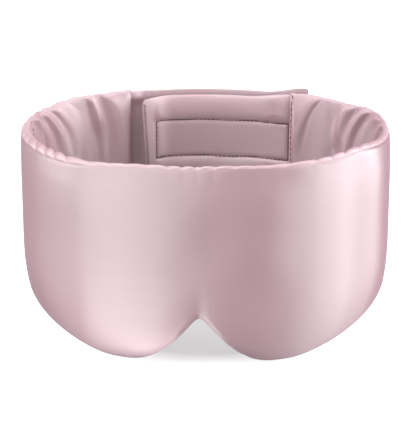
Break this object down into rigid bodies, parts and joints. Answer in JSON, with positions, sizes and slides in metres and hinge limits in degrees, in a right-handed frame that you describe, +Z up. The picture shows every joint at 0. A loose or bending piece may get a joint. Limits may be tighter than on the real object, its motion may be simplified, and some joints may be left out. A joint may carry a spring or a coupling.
{
  "type": "sleep eye mask",
  "caption": "Wide wrap-around padded satin sleep mask with gathered elastic side bands and hook-and-loop tabs that close behind the head.",
  "frame": {"origin": "centre of the ring in plan, at the level of the lowest points of the two cheek lobes, which is the way in for the head", "axes": "+Z up along the wearer's head, +X across the mask to the right seen from its front, the padded front faces -Y and the hook-and-loop closure is at +Y"},
  "size_m": [0.2032, 0.1553, 0.11],
  "materials": {
    "satin": "smooth satin, dusty pink",
    "lining_satin": "smooth satin, dusty pink, gathered",
    "blackout_fabric": "matt close weave",
    "padding": "soft fibre wadding",
    "elastic": "ribbed woven elastic",
    "hook_tape": "stiff nylon hooks",
    "loop_tape": "soft brushed nylon loops",
    "thread": "polyester thread"
  },
  "bodies": {
    "mask_front": {"front_padding": "padding", "front_blackout_layer": "blackout_fabric", "front_outer_satin": "satin", "front_lining": "lining_satin"},
    "left_band": {"left_band_outer_satin": "satin", "left_band_elastic": "elastic", "left_band_inner_satin": "lining_satin", "left_temple_seam_stitching": "thread"},
    "left_tab_seam": {"left_tab_seam_stitching": "thread"},
    "left_tab": {"left_tab_outer_satin": "satin", "left_tab_padding": "padding", "left_tab_inner_satin": "lining_satin", "hook_tape": "hook_tape", "hook_tape_stitching": "thread", "left_tab_edge_overlock": "thread"},
    "right_band": {"right_band_outer_satin": "satin", "right_band_elastic": "elastic", "right_band_inner_satin": "lining_satin", "right_temple_seam_stitching": "thread"},
    "right_tab_seam": {"right_tab_seam_stitching": "thread"},
    "right_tab": {"right_tab_outer_satin": "lining_satin", "right_tab_padding": "padding", "right_tab_inner_satin": "satin", "loop_tape": "loop_tape", "loop_tape_stitching": "thread", "right_tab_edge_overlock": "thread"}
  },
  "joints": [
    {"name": "left_band_swing", "type": "hinge", "parent": "mask_front", "child": "left_band", "pos_m": [-0.1014, 0, 0.068], "axis": [0, 0, 1], "range_deg": [0, 80]},
    {"name": "left_band_stretch", "type": "hinge", "parent": "left_band", "child": "left_tab_seam", "pos_m": [0, -0.058, 0.082], "axis": [0, 0, -1], "range_deg": [0, 8], "stiffness_Nm_per_rad": 1.4, "deforming": ["left_band_elastic"]},
    {"name": "left_tab_peel", "type": "hinge", "parent": "left_tab_seam", "child": "left_tab", "pos_m": [-0.0482, 0.0687, 0.082], "axis": [0, 0, 1], "range_deg": [0, 60]},
    {"name": "right_band_swing", "type": "hinge", "parent": "mask_front", "child": "right_band", "pos_m": [0.0947, 0, 0.068], "axis": [0, 0, 1], "range_deg": [0, 20]},
    {"name": "right_band_stretch", "type": "hinge", "parent": "right_band", "child": "right_tab_seam", "pos_m": [0, -0.058, 0.082], "axis": [0, 0, 1], "range_deg": [0, 8], "stiffness_Nm_per_rad": 1.4, "deforming": ["right_band_elastic"]},
    {"name": "right_tab_peel", "type": "hinge", "parent": "right_tab_seam", "child": "right_tab", "pos_m": [0.0453, 0.0579, 0.082], "axis": [0, 0, 1], "range_deg": [0, 60]}
  ]
}
